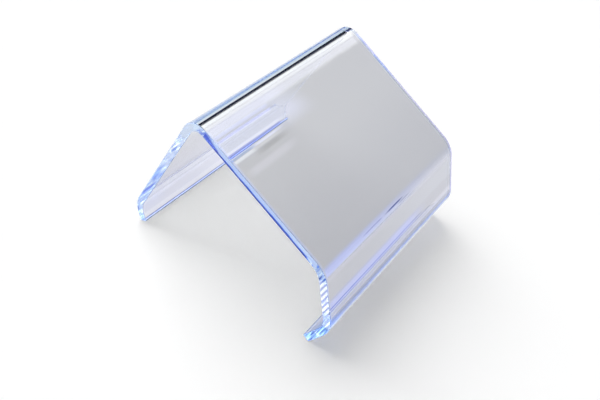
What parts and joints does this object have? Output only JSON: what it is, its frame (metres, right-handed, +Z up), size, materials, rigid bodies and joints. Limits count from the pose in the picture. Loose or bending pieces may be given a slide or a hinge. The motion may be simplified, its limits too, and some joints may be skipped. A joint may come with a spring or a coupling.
{
  "type": "magazine rack",
  "caption": "Clear bent-sheet saddle that magazines hang over or lean on, with turned-in lips for feet.",
  "frame": {"origin": "middle of the footprint, on the floor under the saddle", "axes": "+X along the ridge, -Y towards the long front panel's low edge, +Z up"},
  "size_m": [0.3, 0.2908, 0.2012],
  "materials": {
    "clear_acrylic": "clear gloss faces, flame-polished cut edges that show the sheet's blue tint"
  },
  "bodies": {
    "root": {"bent_sheet": "clear_acrylic"}
  },
  "joints": []
}
